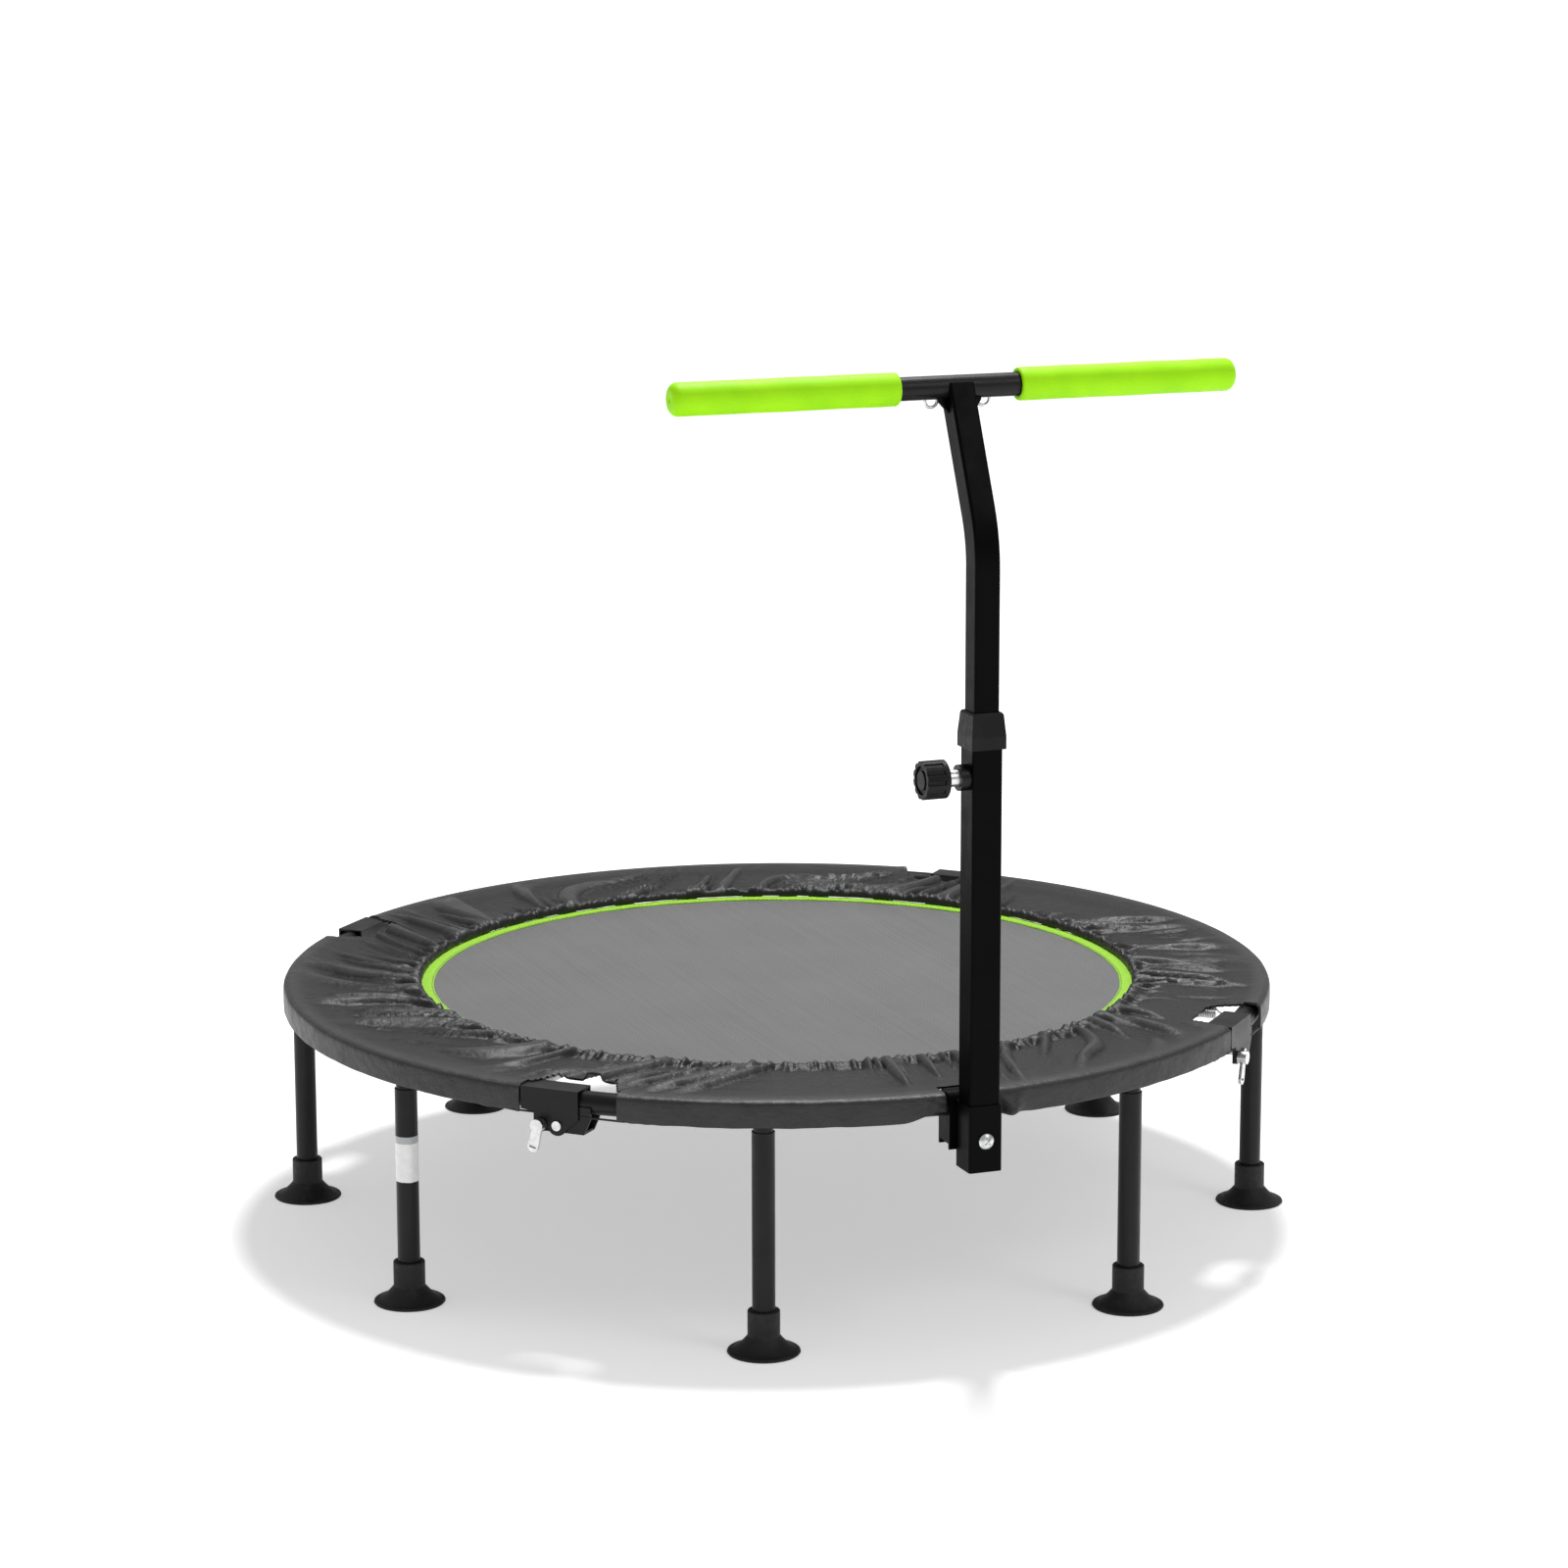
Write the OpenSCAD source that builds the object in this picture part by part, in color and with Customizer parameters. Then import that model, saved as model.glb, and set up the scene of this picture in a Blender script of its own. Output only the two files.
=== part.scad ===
// Folding mini trampoline with a height-adjustable T-handle.
// Millimetres, +Z up. The handle post stands on the -Y side of the ring.
// The origin is on the floor, under the middle of the whole footprint.

/* [Ring] */
// Radius of the ring's centre line
rim_r = 495; // [470:1:520]
// Diameter of the ring tube
rim_d = 22; // [20:0.5:25]
// Height of the ring's centre line above the floor
rim_z = 235; // [220:1:260]
// Wall thickness of every steel tube
tube_wall = 1.5; // [1.2:0.1:1.8]

/* [Mat] */
// Radius of the jumping mat
mat_r = 371; // [355:1:380]
// Height of the middle of the mat's thickness
mat_z = 238; // [236:0.5:239]
// Width of the coloured edge band sewn on the mat
trim_w = 15; // [15:1:30]
// Number of springs all round, a multiple of 8
spring_count = 32; // [24:8:40]
// Outside diameter of a spring's coil
spring_d = 12; // [10:0.5:13]

/* [Cover] */
// Radius of the cover's gathered inner edge
cover_inner_r = 368; // [355:1:370]
// Thickness of the cover cloth
cover_t = 1.2; // [0.8:0.1:1.5]
// Length of the cut-out over each hinge, along the ring
cover_gap_len = 98; // [90:1:110]
// Depth of the cut-out over each hinge, towards the middle
cover_gap_depth = 52; // [50:1:80]

/* [Legs] */
// Diameter of a leg tube
leg_d = 22; // [20:0.5:24]
// Radius of a suction foot's rim
foot_r = 35; // [32:0.5:40]
// Radius of a foot's collar
foot_collar_r = 15.5; // [14.5:0.5:18]
// Height of a foot's collar top above the floor
foot_collar_h = 42; // [38:1:50]

/* [Hinges] */
// Height of the fold pivots above the floor
pivot_z = 213; // [211:0.5:214]
// Diameter of a pivot rivet's shank
rivet_d = 7; // [6:0.5:8]

/* [Post] */
// Width of the square lower post
post_w = 30; // [28:0.5:32]
// Width of the square sliding tube
slider_w = 25; // [23:0.5:25.4]
// Height of the lower post's top end
post_top_z = 600; // [560:5:640]
// Height of the knob's axis
knob_z = 553; // [530:1:560]
// Distance between two height settings
height_step = 50; // [40:1:50]
// Number of height settings
height_count = 5; // [3:1:5]

/* [Handle] */
// Lean of the handle's top towards the mat, in degrees
lean = 25; // [15:1:30]
// Radius of the bend on the tube's middle line
bend_r = 120; // [80:5:160]
// Height where the bend starts, at the lowest setting
bend_z = 745; // [730:5:760]
// Height of the crossbar at the lowest setting
bar_z = 905; // [890:5:940]
// Diameter of the crossbar
bar_d = 22; // [20:0.5:25]
// Length of one foam grip
grip_len = 220; // [200:1:240]
// Diameter of a foam grip
grip_d = 31; // [28:0.5:36]
// Bare length of crossbar between the grips
bar_bare = 120; // [110:1:140]

/* [Hidden] */
$fn = 48;

// Clearances
fit = 0.05;
soft_gap = 0.3;
slide_gap = 0.2;

// Colours
steel_black = [0.05, 0.05, 0.055];
plastic_black = [0.03, 0.03, 0.03];
cloth_black = [0.13, 0.13, 0.14];
mat_grey = [0.42, 0.42, 0.42];
lime = [0.55, 0.85, 0.05];
zinc = [0.78, 0.78, 0.8];

// Ring
tube_r = rim_d / 2;
deg_per_mm = 180 / (PI * rim_r);
hinge_angles = [-135, -45, 45, 135];
fold_angle = 45;
channel_half = tube_r + 0.9;
channel_t = 2;
channel_back = 38;
channel_ahead = 22;
channel_reach = channel_half + channel_t;
tube_stop_back = 22;
tube_stop_ahead = 1;
tongue_t = 2.5;
tongue_half = channel_half - 0.4;
tongue_back = 20;
tongue_ahead = 34;
tongue_low = pivot_z - 7;
web_top = rim_z + tube_r + channel_t;
ear_r = 10;
rivet_head_r = 4.75;
rivet_head_t = 2;

// Wing bolts, on the outer side of each channel
bolt_back = 17;
bolt_r = 3;
bolt_lobe_r = 7.5;
bolt_hub_r = 6.5;
bolt_hub_len = 9;
wing_len = 27;
wing_t = 3;
wing_tilt = -14;

// Cover
cover_out_r = rim_r + channel_reach + 1.6;
cover_low = rim_z - tube_r - 1.5;
cover_top = rim_z + tube_r + 1.3 + cover_t;
cover_inner_z = cover_top + 1.5;

// Footprint: half the difference between what stands out in front and behind
sleeve_wall = 1.5;
sleeve_half = post_w / 2 + sleeve_wall + 0.1;
saddle_t = 3;
saddle_in = tube_r + 0.3;
saddle_out = saddle_in + saddle_t;
post_r = rim_r + saddle_out + sleeve_half;
base_head_t = 4.5;
front_reach = post_r + sleeve_half + base_head_t;
rear_reach = cover_out_r;
ring_y = (front_reach - rear_reach) / 2;
post_y = ring_y - post_r;

// Post
corner_r = 2.6;
post_in = post_w / 2 - tube_wall;
sleeve_low = 179;
sleeve_top = 243;
post_low = sleeve_low + 3;
base_bolt_z = 209;
base_bolt_r = 4;
saddle_half = 22;
saddle_low = 194;
collar_low = 580;
collar_high = 614;
pin_r = 4;
pin_tip_gap = 0.3;
slider_low = knob_z - height_step * (height_count - 1) - 23;
boss_r = 12.2;
boss_len = 9;
barrel_r = 8;
barrel_len = 13;
spring_room_r = 6;
shoulder_t = 2;
wall_t = 1;
boss_floor = 2;
knob_r = 18;
knob_len = 23;
flute_count = 12;
boss_x = -post_w / 2;
barrel_x = boss_x - boss_len;
knob_x = barrel_x - barrel_len;
spring_start = boss_x - boss_floor - shoulder_t;
spring_end = knob_x + wall_t;

// Handle: where the leaning part starts and where it meets the crossbar
bend_rise = bend_r * sin(lean);
bend_in = bend_r * (1 - cos(lean));
lean_len = (bar_z - bend_z - bend_rise) / cos(lean);
bar_y = post_y + bend_in + lean_len * sin(lean);
bar_half = bar_bare / 2 + grip_len - 4;
hook_x = 26;
loop_r = 6;
loop_wire_r = 1.4;

// Legs: eight, two to each quarter of the ring
leg_angles = [for (i = [0:7]) -112.5 + 45 * i];
leg_top = rim_z - tube_r - 8;
leg_foot_z = 12;
stud_r = 4.75;
stud_len = 22;

// Springs
spring_pitch = 360 / spring_count;
springs_per_half = spring_count / 2;
hook_wire_r = 1.1;
ring_wire_r = 1.5;
ring_near_r = mat_r + 5;
ring_far_r = mat_r + 21;
ring_half = 11;
coil_start = mat_r + 31;
coil_end = rim_r - 27;
hook_major = 4;

// ---- Helpers ----

// Moves to the ring's centre
module at_ring() translate([0, ring_y, 0]) children();

// Local frame on the ring: +X outwards, +Y anticlockwise along the ring
module on_ring(a, r = rim_r) at_ring() rotate([0, 0, a]) translate([r, 0, 0]) children();

// A cylinder along X, from x0 to x1
module rod_x(x0, x1, r) translate([x0, 0, 0]) rotate([0, 90, 0]) cylinder(r = r, h = x1 - x0);

// A cylinder along Y, from y0 to y1
module rod_y(y0, y1, r) translate([0, y0, 0]) rotate([-90, 0, 0]) cylinder(r = r, h = y1 - y0);

// Part of the ring tube between two angles
module ring_tube(a0, a1, r) {
    at_ring() rotate([0, 0, a0]) rotate_extrude(angle = a1 - a0, $fn = 180)
        translate([rim_r, rim_z]) circle(r = r, $fn = 48);
}

// A flat profile turned half way round the ring, from the fold line anticlockwise
module half_turn(start) {
    at_ring() rotate([0, 0, start]) rotate_extrude(angle = 180, $fn = 180) children();
}

// Clears a strip along the fold line, so that two soft halves don't touch
module fold_slit() {
    reach = 2 * rim_r + 100;
    at_ring() rotate([0, 0, fold_angle]) cube([reach, 2 * soft_gap, 1200], center = true);
}

// ---- Frame ----

module rim_quarter(start) {
    a0 = start + tube_stop_ahead * deg_per_mm;
    a1 = start + 90 - tube_stop_back * deg_per_mm;
    color(steel_black) difference() {
        ring_tube(a0, a1, tube_r);
        ring_tube(a0 - 1, a1 + 1, tube_r - tube_wall);
        for (i = [0:spring_count / 4 - 1])
            at_ring() rotate([0, 0, start + (i + 0.5) * spring_pitch])
                translate([0, 0, mat_z]) rod_x(rim_r - tube_r - 3, rim_r - tube_r + 6, 2.5);
    }
}

// Side of a channel: covers the joint of two tubes and carries the pivot
module channel_side(low_lobe) {
    polygon([
        [-channel_back, rim_z - tube_r + 2], [-channel_back, web_top],
        [channel_ahead, web_top], [channel_ahead, rim_z - tube_r - 4],
        [ear_r - 1, pivot_z - 4], [-ear_r + 1, pivot_z - 2], [-ear_r - 2, rim_z - tube_r - 1]
    ]);
    translate([0, pivot_z]) circle(r = ear_r, $fn = 48);
    if (low_lobe) {
        translate([-bolt_back, pivot_z]) circle(r = bolt_lobe_r, $fn = 48);
        translate([-bolt_back - bolt_lobe_r, pivot_z]) square([2 * bolt_lobe_r, 15]);
    }
}

module side_plate(x0, t) {
    translate([x0, 0, 0]) rotate([90, 0, 90]) linear_extrude(t) children();
}

module hinge_channel(a) {
    on_ring(a) difference() {
        union() {
            side_plate(channel_half, channel_t) channel_side(true);
            side_plate(-channel_reach, channel_t) channel_side(false);
            translate([-channel_reach, -channel_back, rim_z + tube_r])
                cube([2 * channel_reach, channel_back + channel_ahead, channel_t]);
        }
        translate([0, 0, pivot_z]) rod_x(-20, 20, rivet_d / 2);
        translate([0, -bolt_back, pivot_z]) rod_x(8, 20, bolt_r + fit);
    }
}

module hinge_tongue(a) {
    color(steel_black) difference() {
        on_ring(a) difference() {
            union() {
                side_plate(tongue_half - tongue_t, tongue_t) tongue_side();
                side_plate(-tongue_half, tongue_t) tongue_side();
                translate([-tongue_half, 13, tongue_low])
                    cube([2 * tongue_half, tongue_ahead - 20, tongue_t]);
            }
            translate([0, 0, pivot_z]) rod_x(-20, 20, rivet_d / 2 + fit);
        }
        ring_tube(a - 1, a + 8, tube_r);
    }
}

module tongue_side() {
    polygon([
        [-tongue_back, tongue_low], [-tongue_back, pivot_z + 8.5],
        [tube_stop_ahead, pivot_z + 8.5], [tube_stop_ahead, rim_z - 2],
        [tongue_ahead, rim_z - 2], [tongue_ahead, rim_z - tube_r - 2],
        [tongue_ahead - 7, tongue_low]
    ]);
}

module hinge_rivet(a) {
    on_ring(a) translate([0, 0, pivot_z]) {
        rod_x(-channel_reach, channel_reach, rivet_d / 2);
        rod_x(channel_reach, channel_reach + rivet_head_t, rivet_head_r);
        rod_x(-channel_reach - rivet_head_t, -channel_reach, rivet_head_r);
    }
}

// Clamp screw with one flat wing, screwed in from the ring's outer side
module wing_bolt(a) {
    tip = tongue_half + 0.1;
    hub = channel_reach + 1;
    color(zinc) on_ring(a) translate([0, -bolt_back, pivot_z]) {
        rod_x(tip, hub, bolt_r);
        rod_x(hub, hub + bolt_hub_len, bolt_hub_r);
        translate([hub + 3, 0, 0]) rotate([wing_tilt, 0, 0]) rotate([90, 0, 90])
            linear_extrude(wing_t) wing_outline();
    }
}

// Wing that hangs down from the hub, with a slot near its tip
module wing_outline() {
    difference() {
        union() {
            polygon([[-4.5, 0], [4.5, 0], [5.5, -wing_len + 5], [-5.5, -wing_len + 5]]);
            translate([0, -wing_len + 5.5]) circle(r = 5.5, $fn = 32);
        }
        circle(r = bolt_hub_r - 0.5, $fn = 32);
        translate([-3.4, -wing_len + 4]) square([6.8, 2.4]);
    }
}

// ---- Legs ----

// Welded boss and threaded stud under the ring tube
module leg_seat(a) {
    color(steel_black) difference() {
        on_ring(a) {
            translate([0, 0, leg_top]) cylinder(r = 9.5, h = 9.5);
            translate([0, 0, leg_top - stud_len]) cylinder(r = stud_r, h = stud_len + 1);
        }
        ring_tube(a - 3, a + 3, tube_r);
    }
}

// Leg tube with a welded nut disc in its top end
module leg(i) {
    color(steel_black) on_ring(leg_angles[i]) difference() {
        translate([0, 0, leg_foot_z]) cylinder(r = leg_d / 2, h = leg_top - leg_foot_z);
        translate([0, 0, leg_foot_z - 1])
            cylinder(r = leg_d / 2 - tube_wall, h = leg_top - leg_foot_z - 11);
        translate([0, 0, leg_top - 20]) cylinder(r = stud_r + fit, h = 21);
    }
}

// Rubber suction foot: collar round the leg, flared dome and hollow underside
module foot(i) {
    collar_bore = leg_d / 2 + fit;
    color(plastic_black) on_ring(leg_angles[i]) rotate_extrude($fn = 64) {
        difference() {
            union() {
                square([foot_collar_r, foot_collar_h - 1.5]);
                square([foot_collar_r - 1.5, foot_collar_h]);
                translate([foot_collar_r - 1.5, foot_collar_h - 1.5]) intersection() {
                    circle(r = 1.5, $fn = 24);
                    square(3);
                }
                polygon([
                    [0, 0], [foot_r - 1, 0], [foot_r, 1.2], [foot_r - 0.5, 2.6],
                    for (k = [0:8]) dome_point(k / 8)
                ]);
            }
            translate([-1, leg_foot_z]) square([1 + collar_bore, foot_collar_h]);
            polygon([[-1, -1], [foot_r - 4, -1], [foot_r - 4, 0], [foot_r - 10, 3.5], [12, 7], [-1, 7.5]]);
        }
    }
}

// Points up the foot's hollow flare, from the rim (0) to the collar (1)
function dome_point(s) = [
    foot_r - 1.5 - (foot_r - 1.5 - foot_collar_r + 1) * s,
    3.2 + 15 * pow(s, 1.7)
];

// ---- Mat and springs ----

module mat_half(start) {
    color(mat_grey) difference() {
        half_turn(start) translate([0, mat_z - 1]) square([mat_r, 2]);
        fold_slit();
    }
}

// Edge band on top of the mat, with a webbing tab for each spring ring
module mat_trim_half(start) {
    color(lime) difference() {
        union() {
            half_turn(start) translate([mat_r - trim_w, mat_z + 1]) square([trim_w, 1.2]);
            each_spring(start) difference() {
                translate([mat_r + 0.5, -7, mat_z - 2.5]) cube([8, 14, 5]);
                translate([ring_near_r, 0, mat_z])
                    cube([2 * ring_wire_r + 0.1, 30, 2 * ring_wire_r + 0.1], center = true);
            }
        }
        fold_slit();
    }
}

// Repeats its children at each spring of one half; local +X points outwards
module each_spring(start) {
    for (i = [0:springs_per_half - 1])
        at_ring() rotate([0, 0, start + (i + 0.5) * spring_pitch]) children();
}

// Metal triangles at the mat's edge, each with a wide bar in its webbing tab
module mat_rings_half(start) {
    t = 2 * ring_wire_r;
    color(zinc) each_spring(start) translate([0, 0, mat_z - ring_wire_r])
        linear_extrude(t) difference() {
            ring_outline(ring_wire_r);
            ring_outline(-ring_wire_r);
        }
}

// Middle line of a triangle, moved outwards by d
module ring_outline(d) {
    polygon([
        [ring_near_r - d, -ring_half - 1.6 * d], [ring_near_r - d, ring_half + 1.6 * d],
        [ring_far_r + d, 4 + 0.7 * d], [ring_far_r + d, -4 - 0.7 * d]
    ]);
}

// Tension springs: a close-wound coil, an eye on the mat's side and a hooked end in the ring
module springs_half(start) {
    color(zinc) each_spring(start) translate([0, 0, mat_z]) {
        coil_body();
        translate([ring_far_r, hook_wire_r, 0]) rotate([90, 0, 0])
            linear_extrude(2 * hook_wire_r) difference() {
                circle(r = hook_major + hook_wire_r);
                circle(r = hook_major - hook_wire_r);
            }
        rod_x(ring_far_r + hook_major, coil_start + 1.5, hook_wire_r - 0.1);
        rod_x(coil_end - 1.5, rim_r - 5.5, hook_wire_r);
        translate([rim_r - 6.6, 0, 0]) cylinder(r = hook_wire_r - 0.1, h = 2.6);
    }
}

module coil_body() {
    r = spring_d / 2;
    translate([coil_start, 0, 0]) rotate([0, 90, 0]) rotate_extrude($fn = 32) difference() {
        polygon([
            [0.6, 0], [r - 2, 0], [r, 4], [r, coil_end - coil_start - 4],
            [r - 2, coil_end - coil_start], [0.6, coil_end - coil_start]
        ]);
        translate([0, 2.5]) square([r - 2.2, coil_end - coil_start - 5]);
    }
}

// ---- Cover ----

module cover_profile() {
    t = cover_t;
    polygon([
        [cover_out_r - t, cover_low], [cover_out_r, cover_low],
        [cover_out_r, cover_top - 3], [cover_out_r - 0.9, cover_top - 0.9],
        [cover_out_r - 3, cover_top], [rim_r - tube_r, cover_top],
        [cover_inner_r + 8, cover_inner_z], [cover_inner_r, cover_inner_z - 1.5],
        [cover_inner_r, cover_inner_z - 1.5 - t], [cover_inner_r + 8, cover_inner_z - t],
        [rim_r - tube_r, cover_top - t], [cover_out_r - 3.4, cover_top - t],
        [cover_out_r - t, cover_top - 3.4]
    ]);
}

module cover_half(start) {
    color(cloth_black) difference() {
        half_turn(start) cover_profile();
        fold_slit();
        for (a = hinge_angles)
            on_ring(a, cover_out_r - cover_gap_depth)
                translate([0, -cover_gap_len / 2 + 10, 200]) cube([150, cover_gap_len, 80]);
        on_ring(-90, rim_r - saddle_out - 2)
            translate([0, -saddle_half - 4, 200]) cube([80, 2 * saddle_half + 8, 80]);
    }
}

// ---- Post ----

// Bent strap over the ring tube with two legs hanging below it
module post_saddle() {
    half_a = saddle_half * deg_per_mm;
    web_a = 2.5 * deg_per_mm;
    color(steel_black) difference() {
        union() {
            at_ring() rotate([0, 0, -90 - half_a]) rotate_extrude(angle = 2 * half_a, $fn = 180)
                difference() {
                    saddle_outline(saddle_out, saddle_low);
                    saddle_outline(saddle_in, saddle_low - 1);
                }
            for (start = [-90 - half_a, -90 + half_a - web_a])
                at_ring() rotate([0, 0, start]) rotate_extrude(angle = web_a, $fn = 180)
                    difference() {
                        translate([rim_r - saddle_in - 1, saddle_low + 5])
                            square([2 * saddle_in + 2, rim_z - saddle_low - 5]);
                        translate([rim_r, rim_z]) circle(r = saddle_in, $fn = 64);
                    }
        }
        translate([0, 0, base_bolt_z]) rod_y(post_y, post_y + 80, base_bolt_r + fit);
    }
}

// Round top over straight sides
module saddle_outline(r, low) {
    translate([rim_r, rim_z]) circle(r = r, $fn = 64);
    translate([rim_r - r, low]) square([2 * r, rim_z - low]);
}

// Square outline with round corners, made of bars and discs
module rounded_square(w, r) {
    square([w - 2 * r, w], center = true);
    square([w, w - 2 * r], center = true);
    for (x = [-1, 1])
        for (y = [-1, 1])
            translate([x * (w / 2 - r), y * (w / 2 - r)]) circle(r = r, $fn = 24);
}

module square_tube(w, wall, z0, z1) {
    difference() {
        translate([0, 0, z0]) linear_extrude(z1 - z0) rounded_square(w, corner_r);
        translate([0, 0, z0 - 1]) linear_extrude(z1 - z0 + 2)
            rounded_square(w - 2 * wall, corner_r - wall);
    }
}

// Square sleeve with a closed foot that the post stands in
module post_sleeve() {
    color(steel_black) difference() {
        translate([0, post_y, 0]) {
            square_tube(2 * sleeve_half, sleeve_wall, sleeve_low, sleeve_top);
            translate([-sleeve_half + 1, -sleeve_half + 1, sleeve_low])
                cube([2 * sleeve_half - 2, 2 * sleeve_half - 2, 2.5]);
        }
        translate([0, 0, base_bolt_z]) rod_y(post_y - 30, post_y + 30, base_bolt_r + fit);
    }
}

module lower_post() {
    color(steel_black) difference() {
        translate([0, post_y, 0]) square_tube(post_w, tube_wall, post_low, post_top_z);
        translate([0, 0, base_bolt_z]) rod_y(post_y - 30, post_y + 30, base_bolt_r + fit);
        translate([0, post_y, knob_z]) rod_x(boss_x - 1, 0, pin_r + fit);
    }
}

// Tapered plastic bush on top of the lower post
module post_collar() {
    low = post_w + 4.4;
    high = slider_w + 4.4;
    color(plastic_black) translate([0, post_y, 0]) difference() {
        intersection() {
            rotate([90, 0, 0]) linear_extrude(60, center = true) collar_outline(low, high);
            rotate([90, 0, 90]) linear_extrude(60, center = true) collar_outline(low, high);
        }
        translate([-post_w / 2, -post_w / 2, collar_low - 1])
            cube([post_w, post_w, post_top_z - collar_low + 1]);
        translate([-slider_w / 2 - slide_gap, -slider_w / 2 - slide_gap, collar_low])
            cube([slider_w + 2 * slide_gap, slider_w + 2 * slide_gap, 60]);
    }
}

module collar_outline(low, high) {
    polygon([
        [-low / 2, collar_low], [low / 2, collar_low], [low / 2, collar_low + 12],
        [high / 2 + 0.6, collar_high - 2], [high / 2 - 0.8, collar_high],
        [-high / 2 + 0.8, collar_high], [-high / 2 - 0.6, collar_high - 2],
        [-low / 2, collar_low + 12]
    ]);
}

// Welded nut on the post's side, which the barrel screws into
module knob_boss() {
    color(steel_black) translate([0, post_y, knob_z]) difference() {
        rod_x(barrel_x, boss_x, boss_r);
        rod_x(barrel_x - 1, boss_x - boss_floor, spring_room_r);
        rod_x(barrel_x - 1, boss_x + 1, pin_r + fit);
    }
}

module knob_barrel() {
    color(zinc) translate([0, post_y, knob_z]) difference() {
        rod_x(knob_x, barrel_x, barrel_r);
        rod_x(spring_end, barrel_x + 1, spring_room_r);
        rod_x(knob_x - 1, barrel_x + 1, pin_r + fit);
    }
}

module base_bolt() {
    front = post_y - sleeve_half;
    color(zinc) translate([0, 0, base_bolt_z]) {
        rod_y(front, post_y + sleeve_half + 2 * saddle_out + 9, base_bolt_r);
        difference() {
            intersection() {
                rod_y(front - base_head_t, front, 7.5);
                translate([0, front + 6, 0]) sphere(r = 10.5, $fn = 48);
            }
            for (turn = [45, 135])
                translate([0, front - base_head_t, 0]) rotate([0, turn, 0])
                    cube([7.5, 3.4, 1.4], center = true);
        }
    }
}

module base_nut() {
    y0 = post_y + sleeve_half + 2 * saddle_out;
    color(zinc) translate([0, 0, base_bolt_z]) difference() {
        translate([0, y0 + 0.02, 0]) rotate([-90, 0, 0]) cylinder(r = 7.5, h = 6.5, $fn = 6);
        rod_y(y0 - 1, y0 + 20, base_bolt_r + 0.02);
    }
}

// ---- Pull knob ----

// Fluted knob with a ring-shaped recess in its end
module height_knob() {
    color(plastic_black) translate([0, post_y, knob_z]) difference() {
        rod_x(knob_x - 0.5 - knob_len, knob_x - 0.5, knob_r);
        for (i = [0:flute_count - 1])
            rotate([i * 360 / flute_count, 0, 0]) translate([0, 0, knob_r + 1])
                rod_x(knob_x - knob_len - 2, knob_x - 5, 2.6);
        difference() {
            rod_x(knob_x - knob_len - 2, knob_x - knob_len + 1.5, 13.5);
            rod_x(knob_x - knob_len - 3, knob_x - knob_len + 3, 9);
        }
        rod_x(knob_x - knob_len + 6, knob_x + 1, pin_r + 0.02);
    }
}

// Pin with a shoulder that the spring pushes on
module locating_pin() {
    color(zinc) translate([0, post_y, knob_z]) {
        rod_x(knob_x - knob_len + 6, -slider_w / 2 - pin_tip_gap, pin_r);
        rod_x(spring_start, boss_x - boss_floor - 0.05, spring_room_r - 0.3);
    }
}

module pin_spring() {
    color(zinc) translate([0, post_y, knob_z]) difference() {
        rod_x(spring_end + 0.05, spring_start - 0.05, 5.5);
        rod_x(knob_x, boss_x, 4.3);
    }
}

// ---- Sliding handle ----

// Square section of the sliding tube, centred
module slider_section(thin = 0) {
    difference() {
        rounded_square(slider_w - 2 * thin, corner_r - thin);
        rounded_square(slider_w - 2 * (tube_wall - thin), corner_r - tube_wall + thin);
    }
}

// Straight tube, bend and leaning part, cut to fit under the crossbar;
// the bend is a hair thinner and runs 1 degree into both straight parts
module sliding_tube() {
    color(steel_black) difference() {
        union() {
            translate([0, post_y, slider_low]) linear_extrude(bend_z - slider_low) slider_section();
            translate([0, post_y + bend_r, bend_z]) rotate([0, -90, 0]) rotate([0, 0, -91])
                rotate_extrude(angle = lean + 2, $fn = 180) translate([bend_r, 0])
                    slider_section(0.05);
            translate([0, post_y + bend_in, bend_z + bend_rise]) rotate([-lean, 0, 0])
                linear_extrude(lean_len) slider_section();
            gussets();
        }
        translate([0, bar_y, bar_z]) rod_x(-100, 100, bar_d / 2);
        for (k = [0:height_count - 1])
            translate([0, post_y, knob_z - k * height_step]) rod_x(-20, 0, pin_r + 0.3);
    }
}

// Two small triangular plates between the tube's sides and the crossbar
module gussets() {
    drop = 16;
    translate([0, post_y + bend_in, bend_z + bend_rise]) rotate([-lean, 0, 0])
        rotate([90, 0, 0]) linear_extrude(3, center = true)
            for (side = [-1, 1])
                polygon([
                    [side * (slider_w / 2 - 1), lean_len - drop - bar_d / 2],
                    [side * (slider_w / 2 - 1), lean_len - 2],
                    [side * (slider_w / 2 + 9), lean_len - 2],
                    [side * (slider_w / 2 + 9), lean_len - bar_d / 2 - 2]
                ]);
}

// Plastic plug that guides the sliding tube inside the post
module tube_guide() {
    guide_w = 2 * (post_in - slide_gap);
    plug_w = slider_w - 2 * tube_wall;
    color(plastic_black) translate([0, post_y, slider_low]) {
        translate([0, 0, -6]) linear_extrude(6) rounded_square(guide_w, corner_r);
        translate([0, 0, -1]) linear_extrude(13) rounded_square(plug_w, corner_r - 1);
    }
}

module crossbar() {
    color(steel_black) translate([0, bar_y, bar_z]) difference() {
        rod_x(-bar_half, bar_half, bar_d / 2);
        rod_x(-bar_half - 1, bar_half + 1, bar_d / 2 - tube_wall);
    }
}

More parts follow.
